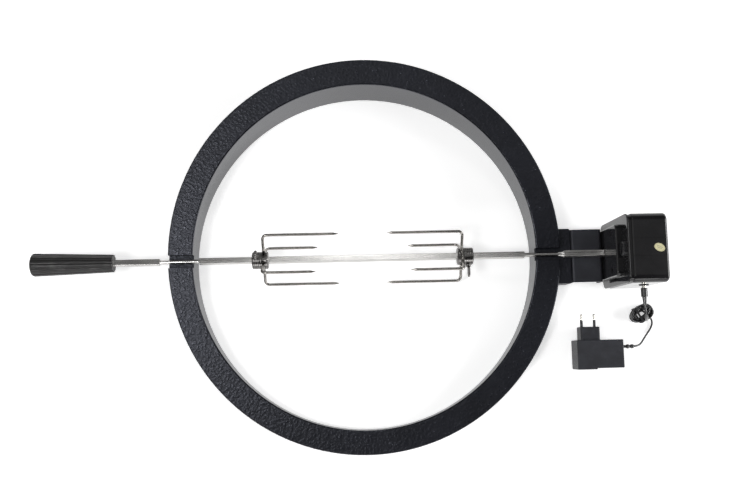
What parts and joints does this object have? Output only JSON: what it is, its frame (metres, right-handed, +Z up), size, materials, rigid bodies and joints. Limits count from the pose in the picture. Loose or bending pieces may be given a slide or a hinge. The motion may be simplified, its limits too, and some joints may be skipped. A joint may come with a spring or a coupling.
{
  "type": "rotisserie kit",
  "caption": "Wedge-shaped cast ring with a two-piece square spit, sliding forks, geared motor on a bracket and mains adapter.",
  "frame": {"origin": "bottom centre of the ring, spit and motor, on the surface that they lie on", "axes": "+X along the spit from the grip to the motor, +Y towards the ring's tall side, +Z up"},
  "size_m": [0.8642, 0.54, 0.1261],
  "materials": {
    "ring_paint": "black hammered stove paint",
    "bracket_paint": "black powder coat",
    "plated_fastener": "zinc plated",
    "black_screw": "blackened steel",
    "spit_steel": "ground stainless steel",
    "fork_wire": "drawn stainless wire",
    "turned_steel": "turned steel",
    "grip_plastic": "black fluted phenolic",
    "insert_steel": "turned steel",
    "housing_gloss": "gloss black moulding",
    "gear_plastic": "natural acetal",
    "bush_bronze": "sintered bronze",
    "motor_can": "plated steel can",
    "switch_black": "gloss black",
    "contact_metal": "nickel plated",
    "jack_plastic": "black moulding",
    "sticker_paper": "pale cream label",
    "lead_jacket": "black flexible jacket",
    "tie_plastic": "black twist tie",
    "adapter_plastic": "charcoal moulding",
    "sleeve_plastic": "black sleeve",
    "board_green": "circuit board",
    "transformer_core": "ferrite and tape"
  },
  "bodies": {
    "frame": {"ring_casting": "ring_paint", "motor_bracket": "bracket_paint", "bracket_bolts": "plated_fastener", "bracket_washers": "plated_fastener", "front_shell": "housing_gloss", "rear_shell": "housing_gloss", "hanger_plate": "housing_gloss", "hanger_screws": "black_screw", "housing_screws": "black_screw", "inspection_sticker": "sticker_paper", "front_bush": "bush_bronze", "rear_bush": "bush_bronze", "gearbox_plate": "insert_steel", "plate_screws": "plated_fastener", "gear_arbor": "insert_steel", "gear_motor": "motor_can", "motor_screws": "plated_fastener", "switch_bezel": "switch_black", "switch_terminals": "contact_metal", "dc_jack": "jack_plastic", "jack_pin": "bush_bronze", "plug_barrel": "contact_metal", "plug_body": "lead_jacket", "lead_drop": "lead_jacket", "lead_hank": "lead_jacket", "hank_tie": "tie_plastic", "lead_tail": "lead_jacket", "bead_relief": "lead_jacket", "adapter_case": "adapter_plastic", "adapter_cover": "adapter_plastic", "pin_block": "adapter_plastic", "adapter_pins": "contact_metal", "pin_sleeves": "sleeve_plastic", "adapter_board": "board_green", "adapter_transformer": "transformer_core"},
    "spit": {"spit_drive_half": "spit_steel", "spit_grip_half": "spit_steel", "handle_grip": "grip_plastic", "grip_insert": "insert_steel"},
    "left_fork": {"left_fork_hub": "turned_steel", "left_fork_wire_a": "fork_wire", "left_fork_wire_b": "fork_wire"},
    "right_fork": {"right_fork_hub": "turned_steel", "right_fork_wire_a": "fork_wire", "right_fork_wire_b": "fork_wire"},
    "left_screw": {"left_wing_screw": "turned_steel"},
    "right_screw": {"right_wing_screw": "turned_steel"},
    "drive": {"drive_socket": "turned_steel", "output_wheel": "gear_plastic"},
    "reduction": {"reduction_gear": "gear_plastic"},
    "pinion": {"motor_shaft": "insert_steel", "motor_pinion": "bush_bronze"},
    "rocker": {"switch_rocker": "switch_black"}
  },
  "joints": [
    {"name": "spit_spin", "type": "hinge", "parent": "frame", "child": "spit", "pos_m": [0.03125, 0, 0.0405], "axis": [1, 0, 0], "continuous": true},
    {"name": "left_fork_slide", "type": "slide", "parent": "spit", "child": "left_fork", "axis": [1, 0, 0], "range_m": [-0.068, 0.026]},
    {"name": "right_fork_slide", "type": "slide", "parent": "spit", "child": "right_fork", "axis": [1, 0, 0], "range_m": [-0.026, 0.068]},
    {"name": "left_screw_turn", "type": "hinge", "parent": "left_fork", "child": "left_screw", "pos_m": [-0.11705, 0, 0.0405], "axis": [0, 0.225, 0.9744], "range_deg": [0, 360]},
    {"name": "right_screw_turn", "type": "hinge", "parent": "right_fork", "child": "right_screw", "pos_m": [0.17365, 0, 0.0405], "axis": [0, -0.9744, 0.225], "range_deg": [0, 360]},
    {"name": "drive_spin", "type": "hinge", "parent": "frame", "child": "drive", "pos_m": [0.37625, 0, 0.0405], "axis": [1, 0, 0], "continuous": true},
    {"name": "reduction_spin", "type": "hinge", "parent": "frame", "child": "reduction", "pos_m": [0.38625, -0.00651, 0.07743], "axis": [1, 0, 0], "continuous": true},
    {"name": "pinion_spin", "type": "hinge", "parent": "frame", "child": "pinion", "pos_m": [0.39125, 0.01904, 0.09218], "axis": [1, 0, 0], "continuous": true},
    {"name": "rocker_tip", "type": "hinge", "parent": "frame", "child": "rocker", "pos_m": [0.37225, -0.002, 0.1102], "axis": [0, 1, 0], "range_deg": [0, 16]}
  ],
  "couplings": [
    {"joint": "drive_spin", "follows": "spit_spin", "ratio": 1},
    {"joint": "reduction_spin", "follows": "spit_spin", "ratio": -4},
    {"joint": "pinion_spin", "follows": "spit_spin", "ratio": 12.857}
  ]
}
